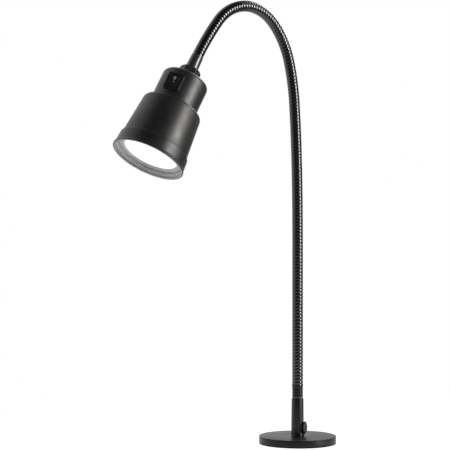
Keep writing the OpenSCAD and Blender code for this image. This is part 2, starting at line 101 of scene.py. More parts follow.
def half_sizes(node, where):
    """Largest distance of a CAD node from a frame's origin along its x and along its y."""
    points = node_points(node, where)
    return max(abs(p.x) for p in points), max(abs(p.y) for p in points)


def joint_place(name, across):
    """Frame on a joint: z along its axis, x square to it and to the direction across."""
    axis = Vector(JOINTS[name]["axis"])
    return place(JOINTS[name]["pos_m"], axis, across.cross(axis))


def switch_place():
    """Frame on the head's axis at the switch: x along the head's axis, y round the cap, z outwards."""
    hinge = Vector(JOINTS["rocker_switch"]["pos_m"])
    level = HEAD.translation + HEAD_AXIS * (hinge - HEAD.translation).dot(HEAD_AXIS)
    return place(level, (hinge - level).normalized(), HEAD_AXIS)


UP, ACROSS = Vector((0, 0, 1)), Vector((0, 1, 0))
BASE = place((0, 0, 0), UP, (1, 0, 0))
CLAMP = joint_place("clamp_turn", UP)
HEAD = joint_place("head_swivel", ACROSS)
HEAD_AXIS = Vector(JOINTS["head_swivel"]["axis"]).normalized()
SWITCH = switch_place()


# ---------------------------------------------------------------- meshes

def rounded(corners, steps=5):
    """Closed outline from corners (x, y) or (x, y, fillet radius)."""
    out = []
    for i, corner in enumerate(corners):
        here = Vector(corner[:2])
        size = corner[2] if len(corner) > 2 else 0
        if not size:
            out.append(here)
            continue
        a = (Vector(corners[i - 1][:2]) - here).normalized()
        b = (Vector(corners[(i + 1) % len(corners)][:2]) - here).normalized()
        half = a.angle(b) / 2
        centre = here + (a + b).normalized() * (size / math.sin(half))
        first = here + a * (size / math.tan(half)) - centre
        last = here + b * (size / math.tan(half)) - centre
        turn = math.atan2(first.x * last.y - first.y * last.x, first.dot(last))
        for k in range(steps + 1):
            spin = Matrix.Rotation(turn * k / steps, 2)
            out.append(centre + spin @ first)
    return out


def sharpen(bm, angle=32):
    """Smooth shading, with a crease where two faces meet at more than the angle."""
    bmesh.ops.recalc_face_normals(bm, faces=bm.faces)
    for face in bm.faces:
        face.smooth = True
    for edge in bm.edges:
        edge.smooth = len(edge.link_faces) == 2 and edge.calc_face_angle() < math.radians(angle)


def add_object(name, data):
    made = bpy.data.objects.new(name, data)
    bpy.context.scene.collection.objects.link(made)
    return made


def new_piece(name, bm, where, body, look, nodes=(), angle=32):
    """Puts a finished bmesh into the scene as a piece on a body and one of LOOKS."""
    sharpen(bm, angle)
    mesh = bpy.data.meshes.new(name)
    bm.to_mesh(mesh)
    bm.free()
    mesh.transform(where)
    piece = add_object(name, mesh)
    mesh.materials.append(LOOKS[look])
    if body:
        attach(piece, body)
    if nodes:
        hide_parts(*nodes)
    return piece


def bridge(bm, near, far, closed=True):
    """Faces between two rows of vertices, all the way round when closed."""
    count = len(near)
    for i in range(count if closed else count - 1):
        j = (i + 1) % count
        bm.faces.new((near[i], near[j], far[j], far[i]))


def lathe_mesh(outline, segments=144, shape=None):
    """Closed outline of (r, z) points turned about Z. shape(r, angle) may change the radius."""
    bm = bmesh.new()
    rings = []
    for j in range(segments):
        a = TAU * j / segments
        ring = []
        for r, z in outline:
            out = shape(r, a) if shape else r
            ring.append(bm.verts.new((out * math.cos(a), out * math.sin(a), z)))
        rings.append(ring)
    on_axis = [abs(r) < 1e-6 for r, _ in outline]
    ends = [(i, (i + 1) % len(outline)) for i in range(len(outline))]
    sides = [(i, k) for i, k in ends if not (on_axis[i] and on_axis[k])]
    for near, far in zip(rings, rings[1:] + rings[:1]):
        for i, k in sides:
            bm.faces.new((near[i], near[k], far[k], far[i]))
    bmesh.ops.remove_doubles(bm, verts=bm.verts, dist=1e-5)
    return bm


def lathe(name, corners, where, body, look, nodes=(), segments=144, shape=None, steps=5):
    """Piece turned from corners with fillets, each fillet in this many steps."""
    bm = lathe_mesh(rounded(corners, steps), segments, shape)
    return new_piece(name, bm, where, body, look, nodes)


def box_mesh(low, high, edge, steps=3):
    """Block with rounded edges."""
    bm = bmesh.new()
    bmesh.ops.create_cube(bm, size=1)
    low, high = Vector(low), Vector(high)
    for v in bm.verts:
        v.co = [low[i] + (v.co[i] + 0.5) * (high[i] - low[i]) for i in range(3)]
    bmesh.ops.bevel(bm, geom=bm.edges[:], offset=edge, segments=steps, profile=0.5, affect="EDGES")
    return bm


def cut(piece, bm, where):
    """Takes a tool's shape out of a piece."""
    mesh = bpy.data.meshes.new("tool")
    bmesh.ops.recalc_face_normals(bm, faces=bm.faces)
    bm.to_mesh(mesh)
    bm.free()
    mesh.transform(where)
    tool = add_object("tool", mesh)
    modifier = piece.modifiers.new("cut", "BOOLEAN")
    modifier.operation, modifier.object, modifier.solver = "DIFFERENCE", tool, "EXACT"
    bpy.context.view_layer.update()
    graph = bpy.context.evaluated_depsgraph_get()
    made = bpy.data.meshes.new_from_object(piece.evaluated_get(graph))
    piece.modifiers.clear()
    piece.data = made
    bpy.data.objects.remove(tool)


# ---------------------------------------------------------------- materials

class Look:
    """One material's node tree, with short calls for the nodes that the materials share."""

    def __init__(self, name, **constants):
        self.material = bpy.data.materials.new(name)
        self.material.use_nodes = True
        self.tree = self.material.node_tree
        self.shader = self.tree.nodes["Principled BSDF"]
        self.object_place = self.node("ShaderNodeTexCoord").outputs["Object"]
        self.normal = None
        for socket, value in constants.items():
            self.shader.inputs[socket.replace("_", " ")].default_value = value

    def node(self, kind, **settings):
        made = self.tree.nodes.new(kind)
        for key, value in settings.items():
            setattr(made, key, value)
        return made

    def join(self, source, node, socket):
        target = node.inputs[socket]
        if isinstance(source, (int, float)):
            target.default_value = source
        else:
            self.tree.links.new(source, target)

    def math(self, kind, a, b=0.0, clamp=False):
        made = self.node("ShaderNodeMath", operation=kind, use_clamp=clamp)
        self.join(a, made, 0)
        self.join(b, made, 1)
        return made.outputs[0]

    def noise(self, size, detail=3.0, rough=0.5, where=None):
        """Noise whose features are about size millimetres across."""
        made = self.node("ShaderNodeTexNoise")
        made.inputs["Scale"].default_value = 1 / (size * MM)
        made.inputs["Detail"].default_value = detail
        made.inputs["Roughness"].default_value = rough
        self.join(where or self.object_place, made, "Vector")
        return made.outputs["Fac"]

    def cells(self, size, output="Distance"):
        made = self.node("ShaderNodeTexVoronoi")
        made.inputs["Scale"].default_value = 1 / (size * MM)
        self.join(self.object_place, made, "Vector")
        return made.outputs[output]

    def span(self, value, low, high, to_low=0.0, to_high=1.0):
        """Remaps value from low..high to to_low..to_high, clamped."""
        made = self.node("ShaderNodeMapRange")
        limits = {"From Min": low, "From Max": high, "To Min": to_low, "To Max": to_high}
        for socket, number in limits.items():
            made.inputs[socket].default_value = number
        self.join(value, made, "Value")
        return made.outputs["Result"]

    def mix(self, share, first, second):
        """Colour between first and second, each an (r, g, b) or a socket."""
        made = self.node("ShaderNodeMix", data_type="RGBA")
        self.join(share, made, 0)
        for socket, colour in ((6, first), (7, second)):
            if isinstance(colour, tuple):
                made.inputs[socket].default_value = (*colour, 1)
            else:
                self.tree.links.new(colour, made.inputs[socket])
        return made.outputs[2]

    def bump(self, height, strength, depth):
        """Adds a bump, depth in millimetres, over any bump made before."""
        made = self.node("ShaderNodeBump")
        made.inputs["Strength"].default_value = strength
        made.inputs["Distance"].default_value = depth * MM
        self.join(height, made, "Height")
        if self.normal:
            self.tree.links.new(self.normal, made.inputs["Normal"])
        self.normal = made.outputs["Normal"]

    def edges(self, low=0.505, high=0.54):
        """1 on worn convex edges, 0 elsewhere."""
        point = self.node("ShaderNodeNewGeometry").outputs["Pointiness"]
        rub = self.span(self.noise(1.7, 4), 0.35, 0.65, 0.15, 1)
        return self.math("MULTIPLY", self.span(point, low, high), rub)

    def vector_math(self, kind, a, b=None, output=0):
        """One vector operation. a is a socket, b a socket or a fixed vector."""
        made = self.node("ShaderNodeVectorMath", operation=kind)
        self.join(a, made, 0)
        if isinstance(b, Vector):
            made.inputs[1].default_value = b
        elif b is not None:
            self.join(b, made, 1)
        return made.outputs[output]

    def head_radius(self):
        """Distance from the head's axis, in metres, on an object at rest."""
        offset = self.vector_math("SUBTRACT", self.object_place, HEAD.translation)
        along = self.vector_math("PROJECT", offset, HEAD_AXIS)
        return self.vector_math("LENGTH", self.vector_math("SUBTRACT", offset, along), output="Value")

    def head_depth(self):
        """Distance along the head's axis from its swivel, in metres, on an object at rest."""
        offset = self.vector_math("SUBTRACT", self.object_place, HEAD.translation)
        return self.vector_math("DOT_PRODUCT", offset, HEAD_AXIS, "Value")

    def attribute(self, name):
        return self.node("ShaderNodeAttribute", attribute_name=name).outputs["Fac"]

    def done(self, colour=None, roughness=None):
        for source, socket in ((colour, "Base Color"), (roughness, "Roughness"), (self.normal, "Normal")):
            if source is not None:
                self.tree.links.new(source, self.shader.inputs[socket])
        return self.material


def shade_of(tone, share):
    return tuple(min(c * share, 1) for c in tone)


def paint(name, tone, rough, grain=0.45, relief=0.012, wear=(0.16, 0.16, 0.165), **constants):
    """Black powder coat: fine orange-peel grain, faint mottling and rubbed edges."""
    look = Look(name, **constants)
    mottle = look.noise(14, 4, 0.6)
    colour = look.mix(look.span(mottle, 0.3, 0.7), shade_of(tone, 0.72), tone)
    fleck = look.span(look.cells(0.9), 0.0, 0.16, 1, 0)
    colour = look.mix(look.math("MULTIPLY", fleck, 0.2), colour, shade_of(tone, 2.6))
    colour = look.mix(look.math("MULTIPLY", look.edges(), 0.45), colour, wear)
    look.bump(look.noise(grain, 2, 0.4), 0.5, relief)
    look.bump(look.noise(grain * 6, 2, 0.5), 0.35, relief)
    smear = look.noise(22, 5, 0.65)
    return look.done(colour, look.span(smear, 0.3, 0.72, rough - 0.05, rough + 0.07))


def metal(name, tone, rough, stain=0.75, grain=0.25, relief=0.01, **constants):
    """Bare or plated metal with a fine grain and slight staining."""
    look = Look(name, Metallic=1.0, **constants)
    cloud = look.noise(6, 5, 0.6)
    colour = look.mix(look.span(cloud, 0.3, 0.7), shade_of(tone, stain), tone)
    look.bump(look.noise(grain, 3, 0.6), 0.4, relief)
    return look.done(colour, look.span(look.noise(2.5, 4), 0.3, 0.7, rough - 0.06, rough + 0.1))


def moulded(name, tone, rough, grain=0.3, relief=0.015, **constants):
    """Moulded plastic, rubber or glaze with a fine texture."""
    look = Look(name, **constants)
    cloud = look.noise(9, 4, 0.55)
    colour = look.mix(look.span(cloud, 0.3, 0.7), shade_of(tone, 0.8), shade_of(tone, 1.12))
    look.bump(look.noise(grain, 2, 0.5), 0.5, relief)
    return look.done(colour, look.span(look.noise(5, 3), 0.3, 0.7, rough - 0.05, rough + 0.08))


def gooseneck_steel():
    """Blackened steel wire, rubbed bright along the crests, with painted shade that darkens it down in the
    grooves.
    """
    look = Look("blackened_steel_wire", IOR=1.62)
    crest = look.attribute("crest")
    patchy = look.span(look.noise(7, 5, 0.6), 0.3, 0.7, 0.45, 1)
    worn = look.math("MULTIPLY", look.span(crest, 0.5, 1.0), patchy)
    # Painted shade: the colour darkens from the crests down into the grooves between turns.
    colour = look.mix(look.span(crest, -0.2, 0.6), (0.003, 0.003, 0.0032), (0.007, 0.007, 0.0074))
    colour = look.mix(worn, colour, (0.012, 0.012, 0.0125))
    look.bump(look.noise(0.35, 3, 0.6), 0.3, 0.01)
    return look.done(colour, look.span(look.noise(3, 4), 0.3, 0.7, 0.16, 0.26))


def worn_ferrule():
    """Ferrule metal: the wire's black without its bright crests."""
    look = Look("blackened_ferrule", IOR=1.34)
    cloud = look.noise(6, 5, 0.6)
    colour = look.mix(look.span(cloud, 0.3, 0.7), (0.004, 0.004, 0.0042), (0.008, 0.008, 0.0085))
    colour = look.mix(look.math("MULTIPLY", look.edges(), 0.6), colour, (0.06, 0.06, 0.06))
    look.bump(look.noise(0.35, 3, 0.6), 0.3, 0.01)
    return look.done(colour, look.span(look.noise(3, 4), 0.3, 0.7, 0.2, 0.3))


def spun_aluminium():
    """Natural aluminium with the fine rings that spinning leaves."""
    look = Look("spun_aluminium", Metallic=0.85)
    reach = look.head_radius()
    rings = look.node("ShaderNodeTexNoise", noise_dimensions="1D")
    rings.inputs["Scale"].default_value = 2600
    rings.inputs["Detail"].default_value = 3
    look.join(reach, rings, "W")
    cloud = look.noise(8, 4)
    ringed = look.math("MULTIPLY", rings.outputs["Fac"], 0.6)
    tone = look.math("ADD", ringed, look.math("MULTIPLY", cloud, 0.4))
    colour = look.mix(look.span(tone, 0.35, 0.65), (0.36, 0.36, 0.365), (0.6, 0.6, 0.6))
    look.bump(rings.outputs["Fac"], 0.35, 0.05)
    return look.done(colour, look.span(cloud, 0.3, 0.7, 0.36, 0.48))


def lamp_face():
    """Frosted glass lit from behind, a little brighter in the middle."""
    look = Look("lamp_face_lit", Emission_Strength=1.0)
    reach = look.head_radius()
    frost = look.noise(0.7, 3)
    glow = look.mix(look.span(reach, 0.02, 0.036), (1.0, 0.99, 0.97), (0.93, 0.925, 0.91))
    glow = look.mix(look.span(reach, 0.0365, 0.0392), glow, (0.5, 0.5, 0.49))
    glow = look.mix(look.math("MULTIPLY", look.cells(1.6), 0.12), glow, (0.9, 0.9, 0.9))
    look.tree.links.new(glow, look.shader.inputs["Emission Color"])
    look.bump(frost, 0.4, 0.05)
    colour = look.mix(frost, (0.82, 0.81, 0.79), (0.94, 0.93, 0.9))
    return look.done(colour, look.span(look.noise(4), 0.3, 0.7, 0.3, 0.45))


def grey_with_painted_lamp_light(name, dull, bright, rough, ring, rise):
    """Grey with painted light from the lamp, bright deep in the head and darker towards the mouth, with faint
    rings ring millimetres apart.
    """
    look = Look(name, IOR=1.36)
    low, top, _ = extent("inner_ring", HEAD)
    depth = look.head_depth()
    sweep = look.math("ADD", look.head_radius(), depth)
    ripple = look.math("SINE", look.math("MULTIPLY", sweep, TAU / (ring * MM)))
    cloud = look.noise(11, 3)
    # Painted lamp light: the colour runs from the bright grey deep in the head, beside the lamp, to the dull grey
    # at the mouth.
    lamp_light_share = look.span(depth, (top + ROLL) * MM, (low + 1) * MM, 0.0, 0.9)
    tone = look.math("ADD", lamp_light_share, look.math("MULTIPLY", cloud, 0.12))
    tone = look.math("ADD", tone, look.math("MULTIPLY", ripple, 0.05), True)
    colour = look.mix(tone, (dull, dull, dull * 1.01), (bright, bright, bright * 0.99))
    look.bump(ripple, 0.2, rise)
    return look.done(colour, look.span(cloud, 0.3, 0.7, rough, rough + 0.12))


def reflector_glass():
    """Silvered glass seen from behind: grey, slightly rippled."""
    look = Look("silvered_glass", Metallic=0.7, Coat_Weight=0.6, Coat_Roughness=0.05)
    cloud = look.noise(18, 4)
    colour = look.mix(look.span(cloud, 0.3, 0.7), (0.36, 0.36, 0.38), (0.56, 0.56, 0.57))
    look.bump(look.noise(7, 2), 0.2, 0.2)
    return look.done(colour, look.span(cloud, 0.3, 0.7, 0.16, 0.3))


LOOKS = {
    "black_paint": paint(
        "satin_black_coat", (0.006, 0.006, 0.0062), 0.36, wear=(0.04, 0.04, 0.042), IOR=1.32),
    "head_paint": paint("satin_black_head", (0.018, 0.0176, 0.017), 0.41, wear=(0.05, 0.05, 0.052)),
    "head_lip": paint("satin_black_lip", (0.018, 0.0177, 0.0172), 0.4, wear=(0.06, 0.06, 0.06)),
    "post_paint": paint(
        "gloss_black_post", (0.003, 0.003, 0.0031), 0.26, 0.6, 0.006, (0.04, 0.04, 0.042), IOR=1.42),
    "knob_black": paint(
        "matt_black_enamel", (0.002, 0.002, 0.0021), 0.4, 0.6, 0.01, (0.008, 0.008, 0.008), IOR=1.25),
    "ferrule_black": paint(
        "gloss_black_ferrule", (0.03, 0.03, 0.0305), 0.36, 0.6, 0.01, (0.05, 0.05, 0.05),
        Coat_Weight=0.6, Coat_Roughness=0.16),
    "nut_black": moulded("black_nylon_nut", (0.022, 0.022, 0.0222), 0.42, IOR=1.38),
    "bezel": moulded("black_bezel_plastic", (0.016, 0.016, 0.0162), 0.6, IOR=1.38),
    "switch_black": moulded("black_switch_plastic", (0.01, 0.01, 0.0102), 0.5, IOR=1.42),
    "zinc": metal("zinc_plate", (0.62, 0.63, 0.65), 0.3),
    "brass": metal("machined_brass", (0.74, 0.52, 0.2), 0.26),
    # Black rubber, darkened to nearly black with little sheen: on the pad under the base it also stands for the
    # shadow where the base meets the floor.
    "rubber": moulded("black_rubber_and_painted_contact_shade", (0.004, 0.004, 0.004), 0.75, 0.5, 0.03, IOR=1.15),
    "nylon": moulded("grey_nylon", (0.09, 0.09, 0.09), 0.5),
    "porcelain": moulded(
        "glazed_porcelain", (0.8, 0.77, 0.7), 0.16, 2.5, 0.03, Coat_Weight=0.5, Coat_Roughness=0.05),
    "wire": moulded("wire_sleeving", (0.22, 0.1, 0.05), 0.5),
    # White print, also used for the painted highlight on the rocker's ridge.
    "print": moulded("white_print_and_painted_highlight", (0.9, 0.9, 0.88), 0.5),
    "hose_steel": gooseneck_steel(),
    "hose_dark": worn_ferrule(),
    "plain_aluminium": spun_aluminium(),
    "lamp_face": lamp_face(),
    # The lamp's rim and the liner take painted light from the lamp, brighter the deeper they sit.
    "lamp_rim": grey_with_painted_lamp_light("lamp_rim_glass_painted_light", 0.4, 0.6, 0.34, 3.1, 0.03),
    "liner_grey": grey_with_painted_lamp_light("liner_satin_painted_light", 0.3, 0.93, 0.5, 2.6, 0.02),
    "lamp_glass": reflector_glass(),
}
# CAD nodes that look unlike the rest of their slot
NODE_LOOKS = {"plate_screw": "knob_black"}


def dress_cad_nodes():
    """Gives every CAD node the look of its material slot."""
    for sub in frame["record"]["subparts"]:
        mesh = frame["nodes"][sub["node"]].data
        mesh.materials.clear()
        mesh.materials.append(LOOKS[NODE_LOOKS.get(sub["node"], sub["material_slot"])])


# ---------------------------------------------------------------- base and post

def make_base():
    """Disc with a groove just under its top edge, and the pad that it stands on."""
    low, top, r = extent("base_plate", BASE)
    groove, edge = 0.55, 0.45
    side, belt = r - 0.05, top - 1.35
    lathe("base_disc", [
        (0, low), (r - 0.9, low, 0.1), (r - 0.15, low + 0.75, 0.3), (r, low + 2.4, 1.5),
        (side, belt - 0.7, 0.2), (side - groove, belt - 0.4, 0.1), (side - groove, belt + 0.2, 0.1),
        (side, belt + 0.5, 0.15), (side, top, edge), (0, top),
    ], BASE, "base", "black_paint", ["base_plate"], segments=192)
    # Painted shade: the nearly black pad makes the dark contact-shadow line under the disc.
    pad_low, pad_top, pad_r = extent("base_pad", BASE)
    lathe("base_pad_ring", [
        (0, pad_low + 0.25), (pad_r - 7, pad_low + 0.25, 0.2), (pad_r - 6.2, pad_low, 0.15),
        (pad_r, pad_low, 0.25), (pad_r, pad_top), (0, pad_top),
    ], BASE, "base", "rubber", ["base_pad"])


def make_post():
    """Tapered post and its clamp boss, with the thumbscrew's hole through both into the socket."""
    low, top, foot_r = extent("post_socket", BASE)
    top_r, socket_r, floor = foot_r - 0.7, 6.5, extent("lower_ferrule", BASE)[0] - 0.5
    half_w, half_h, hole_r = 6, 6.35, 2.5
    foot, neck = low + 1.1, top - 1.4
    screw_z = CLAMP.translation.z / MM

    def cone(z):
        return (foot_r + (top_r - foot_r) * (z - foot) / (neck - foot), z)

    post = lathe("post", [
        (0, low), (foot_r + 0.9, low, 0.1), (foot_r, foot, 0.8),
        cone(screw_z - half_h), cone(screw_z + half_h), (top_r, neck, 0.5), (top_r - 1.4, top, 0.3),
        (socket_r, top, 0.3), (socket_r, floor), (0, floor),
    ], BASE, "base", "post_paint", ["post_socket"], segments=112)
    bm = box_mesh((-half_h, -half_w, 6.2), (half_h, half_w, 10), 0.9)
    boss = new_piece("clamp_boss_block", bm, CLAMP, "base", "black_paint", ["clamp_boss"])
    for piece in (post, boss):
        cut(piece, lathe_mesh([(0, 5.9), (hole_r, 5.9), (hole_r, 12), (0, 12)], 64), CLAMP)


def make_thumbscrew():
    """Fluted knob with a dished face, on a ribbed shank."""
    _, front, knob_r = extent("thumbscrew", CLAMP)
    start, back = 7.77, 10.3
    flutes, flute_depth, grip = 36, 0.42, 1.3
    ribs, rib_depth, shank_r = 9, 0.28, 2.42

    def knurl(r, a):
        share = max(r - knob_r + grip, 0) / grip
        return r - flute_depth * share * (0.5 - 0.5 * math.cos(flutes * a)) ** 0.7

    shank = []
    for i in range(ribs):
        z = start + (back - start) * i / ribs
        shank += [(shank_r - rib_depth, z), (shank_r, z + (back - start) / ribs / 2)]
    lathe("thumbscrew_knob", [
        (0, start), *shank, (shank_r, back), (knob_r - 1, back, 0.1), (knob_r, back + 0.5, 0.3),
        (knob_r, front - 0.6, 0.4), (knob_r - 1.1, front, 0.3), (knob_r - 2.4, front, 0.15),
        (knob_r - 2.9, front - 0.35, 0.15), (2.6, front - 0.45, 0.3), (1.9, front - 0.1, 0.3),
        (0, front - 0.1),
    ], CLAMP, "clamp_knob", "knob_black", ["thumbscrew"],
        segments=flutes * 8, shape=knurl, steps=3)


def make_lower_ferrule():
    """Sleeve with four raised rings, on the spigot that stands in the post."""
    low, top, r = extent("lower_ferrule", BASE)
    seat = extent("post_socket", BASE)[1] + 0.82
    spigot_r, wire_r, coil_r, body_r = 6.46, 3.6, 6.2, r - 0.45
    rings, spacing = 4, 4.1
    wall = [(body_r, seat, 0.3)]
    for i in range(rings):
        z = seat + 2.2 + i * spacing
        wall += [(body_r, z - 0.9, 0.3), (r - 0.1, z - 0.4, 0.25),
                 (r - 0.1, z + 0.4, 0.25), (body_r, z + 0.9, 0.3)]
    wall += [(r, top - 2.6, 0.3), (r, top, 0.35)]
    lathe("lower_ferrule_sleeve", [
        (wire_r, low), (spigot_r, low, 0.4), (spigot_r, seat - 0.01), *wall,
        (coil_r + 1.4, top, 0.3), (coil_r, top - 1), (coil_r, top - 10), (wire_r, top - 12),
    ], BASE, "arm", "hose_dark", ["lower_ferrule"], segments=112, steps=3)


# ---------------------------------------------------------------- gooseneck

def neck_joints():
    """The gooseneck's joints, from the lowest up."""
    return [JOINTS[name] for name in sorted(JOINTS) if name.startswith("neck_")]


class Neck:
    """The gooseneck's centreline: one arc between each two joints, each tangent to the next."""

    def __init__(self):
        start = Vector((0, 0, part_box("lower_ferrule")[1].z))
        sleeve_end = extent("hose_link_11", HEAD)[1]
        points = [start, *[Vector(j["pos_m"]) for j in neck_joints()], HEAD @ Vector((0, 0, sleeve_end))]
        self.arcs, self.starts = [], []
        heading, length = 0.0, 0.0
        for a, b in zip(points, points[1:]):
            chord = b - a
            middle = math.atan2(-chord.x, chord.z)
            turn = 2 * (middle - heading)
            run = chord.length / self.sinc(turn / 2)
            self.arcs.append((a, heading, turn, run))
            self.starts.append(length)
            heading, length = heading + turn, length + run
        self.length = length

    @staticmethod
    def sinc(x):
        return 1.0 if abs(x) < 1e-6 else math.sin(x) / x

    @staticmethod
    def way(heading):
        return Vector((-math.sin(heading), 0, math.cos(heading)))

    def middle(self, i):
        return self.starts[i] + self.arcs[i][3] / 2

    def at(self, s):
        """Point and heading at distance s from the lower end."""
        i = max(k for k in range(len(self.arcs)) if k == 0 or self.starts[k] <= s)
        start, heading, turn, run = self.arcs[i]
        share = (s - self.starts[i]) / run
        bend = turn * share
        reach = (s - self.starts[i]) * self.sinc(bend / 2)
        return start + self.way(heading + bend / 2) * reach, heading + bend


def crowned_section():
    """Rolled wire: nearly flat outside with round shoulders, and deeper inside."""
    centre = NECK_R - CROWN
    out = []
    for k in range(ROUND_POINTS):
        a = TAU * k / ROUND_POINTS
        rise = math.cos(a)
        # The third value, 1 on the crest down to -1 inside, is the mask for the painted groove shade and for the
        # crest wear.
        out.append((centre + (CROWN if rise > 0 else ROOT) * rise, WIRE_HALF * math.sin(a), rise))
    return out


def add_coil(bm, crest, neck, first, last, section, phase):
    """Sweeps one wire's section round the neck, from sample first to sample last."""
    rings = []
    for k in range(first, last + 1):
        s = k * PITCH / PER_TURN
        turn = TAU * (s / PITCH + phase)
        ring = []
        for reach, along, groove_shade_and_wear in section:
            point, heading = neck.at(s + along)
            side = Vector((math.cos(heading), 0, math.sin(heading)))
            out = side * math.cos(turn) + ACROSS * math.sin(turn)
            vert = bm.verts.new(point + out * reach)
            vert[crest] = groove_shade_and_wear
            ring.append(vert)
        rings.append(ring)
    for near, far in zip(rings, rings[1:]):
        bridge(bm, near, far)
    bm.faces.new(rings[0])
    bm.faces.new(rings[-1])


def make_gooseneck():
    """Crowned steel wire wound with a narrow one in its grooves, in one piece per joint."""
    neck, joints = Neck(), neck_joints()
    outer_r, hidden = 7, 6 * MM
    # The narrow wire's values are low, so it takes the painted shade of the groove.
    flat = [(r * MM, z * MM, -0.1 if r > outer_r else -1) for r, z in FLAT_SECTION]
    edges = [-hidden] + [neck.middle(i) for i in range(1, len(joints))] + [neck.length - 0.2 * MM]
    marks = [round(edge * PER_TURN / PITCH) for edge in edges]
    for n, joint in enumerate(joints):
        bm = bmesh.new()
        crest = bm.verts.layers.float.new("crest")
        first, last = marks[n], marks[n + 1]
        add_coil(bm, crest, neck, first, last, crowned_section(), 0.0)
        add_coil(bm, crest, neck, first, last, flat, 0.5)
        links = [f"hose_link_{n + 1:02d}"] + (["hose_link_11"] if n == len(joints) - 1 else [])
        piece = new_piece(f"gooseneck_{n + 1:02d}", bm, Matrix.Identity(4), None,
                          "hose_steel", links, angle=50)
        begin, end = neck.at(neck.middle(n))[0], neck.at(neck.middle(n + 1))[0]
        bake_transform(piece)


# ---------------------------------------------------------------- head

def make_upper_ferrule():
    """Smooth sleeve with one shallow groove, over the end of the coil."""
    low, top, r = extent("upper_ferrule", HEAD)
    bore, nipple, neck_r = 8.2, 6.5, 8.72
    lathe("upper_ferrule_sleeve", [
        (bore, low), (neck_r - 0.25, low, 0.15), (neck_r, low + 0.5, 0.2), (neck_r + 0.06, low + 2.6, 0.1),
        (neck_r - 0.1, low + 2.9, 0.1), (neck_r - 0.08, low + 3.3, 0.1), (neck_r + 0.1, low + 3.6, 0.1),
        (r, top - 1.2, 0.4), (r - 0.8, top - 0.6, 0.3), (r - 0.8, top),
        (nipple, top), (nipple, top - 10), (bore - 1.4, top - 10), (bore - 1.4, low + 3), (bore, low + 3),
    ], HEAD, "hose_11", "ferrule_black", ["upper_ferrule"], segments=112, steps=3)


def make_lock_nut():
    """Hex nut with a domed top: flats cut round a turned body, so the corners end in curves."""
    low, top, corner_r = extent("hex_lock_nut", HEAD)
    flat_r, bore, corner_at = corner_r * math.sqrt(3) / 2, 6.5, math.radians(36.7)
    dome_r, dome_h, steps = 2.6, 4.0, 7

    def hexagon(r, a):
        if r <= bore + 0.1:
            return r
        off = ((a - corner_at) % (TAU / 6)) - TAU / 12
        flat = flat_r / math.cos(off)
        return min(r, flat) - 0.12 * max(0, 1 - abs(r - flat) / 0.5)

    side = []
    for i in range(steps + 1):
        turn = math.pi / 2 * i / steps
        side.append((corner_r - dome_r * (1 - math.sin(turn)), low + 0.3 + dome_h * (1 - math.cos(turn))))
    side += [(corner_r, top - 0.9), (corner_r - 0.15, top - 0.4), (corner_r - 0.6, top)]
    lathe("hex_lock_nut_body", [
        (bore, low + 0.3), (9.6, low + 0.3), (10, low + 0.02), (12.6, low), *side, (bore, top),
    ], HEAD, "hose_11", "nut_black", ["hex_lock_nut"], shape=hexagon, steps=2)


def make_seal_washer():
    low, top, r = extent("seal_washer", HEAD)
    lathe("seal_washer_ring", [(6.6, low), (r, low, 0.35), (r, top, 0.35), (6.6, top)],
          HEAD, "hose_11", "zinc", ["seal_washer"], segments=96)


def make_cap():
    """Thin spun cap with a rounded top edge, cut out for the switch."""
    low, top, r = extent("head_cap", HEAD)
    sheet, edge, slack = 0.8, 7, 0.1
    hole_h, hole_w = (size + slack for size in half_sizes("switch_body", SWITCH))
    cap = lathe("cap_shell", [
        (6.6, low, 0.1), (15.5, low, 0.2), (15.9, low + 0.25, 0.2), (r, low + 0.25, edge),
        (r, top - 0.9, 0.2), (r + 0.12, top - 0.6, 0.15), (r + 0.05, top, 0.35),
        (r - sheet, top, 0.2), (r - sheet, low + sheet + 0.25, edge - sheet), (6.6, low + sheet),
    ], HEAD, "head", "head_paint", ["head_cap"], segments=192, steps=9)
    cut(cap, box_mesh((-hole_h, -hole_w, 22), (hole_h, hole_w, 37), 0.4, 1), SWITCH)


def make_shade():
    """Tapered shade with a rounded shoulder and a faint bead above the rim band."""
    low, _, mouth_r = extent("shade", HEAD)
    _, cap_top, cap_r = extent("head_cap", HEAD)
    band_low = extent("rim_band", HEAD)[0]
    neck_r, sheet, shoulder_r, edge = cap_r - 0.95, 0.8, 43.0, 6.0
    face = cap_top + 0.3

    def wall_r(t):
        return shoulder_r + (mouth_r - shoulder_r) * (t - face - edge) / (band_low - face - edge)

    bead = band_low - 2.6
    lathe("shade_shell", [
        (neck_r, low), (neck_r, face, 0.6), (shoulder_r, face, edge), (wall_r(bead - 0.5), bead - 0.5, 0.2),
        (wall_r(bead) - 0.09, bead, 0.2), (wall_r(bead + 0.5), bead + 0.5, 0.2), (mouth_r, band_low + 1.3),
        (mouth_r - sheet, band_low + 1.3), (shoulder_r - sheet, face + sheet, edge - sheet),
        (neck_r - sheet, face + sheet, 0.3), (neck_r - sheet, low),
    ], HEAD, "head", "head_paint", ["shade"], segments=192, steps=9)


